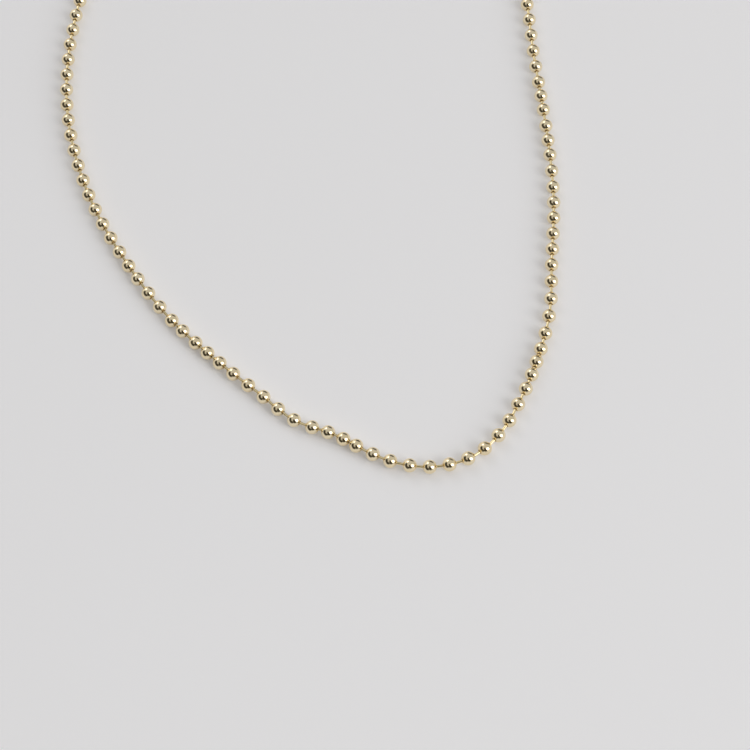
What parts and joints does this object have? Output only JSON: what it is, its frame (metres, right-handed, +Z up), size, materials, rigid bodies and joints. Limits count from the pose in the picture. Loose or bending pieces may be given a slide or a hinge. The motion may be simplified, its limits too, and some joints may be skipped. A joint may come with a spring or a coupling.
{
  "type": "ball chain necklace",
  "caption": "Necklace of small hollow metal balls joined by short pins in one closed loop, laid flat, with a plain slotted tube clasp.",
  "frame": {"origin": "on the surface that the chain lies on, under the middle of its bounding box", "axes": "+Z up from the surface, +Y from the front of the loop to its back where the clasp is, +X to the right as seen from the front"},
  "size_m": [0.1192, 0.1826, 0.004],
  "materials": {
    "ball_gold": "brass plated in pale gold, polished bright",
    "pin_gold": "brass wire plated in pale gold, drawn lengthwise",
    "clasp_gold": "brass sheet plated in pale gold, fine lengthwise brushing"
  },
  "bodies": {
    "root": {"balls": "ball_gold", "pins": "pin_gold", "clasp": "clasp_gold"}
  },
  "joints": []
}
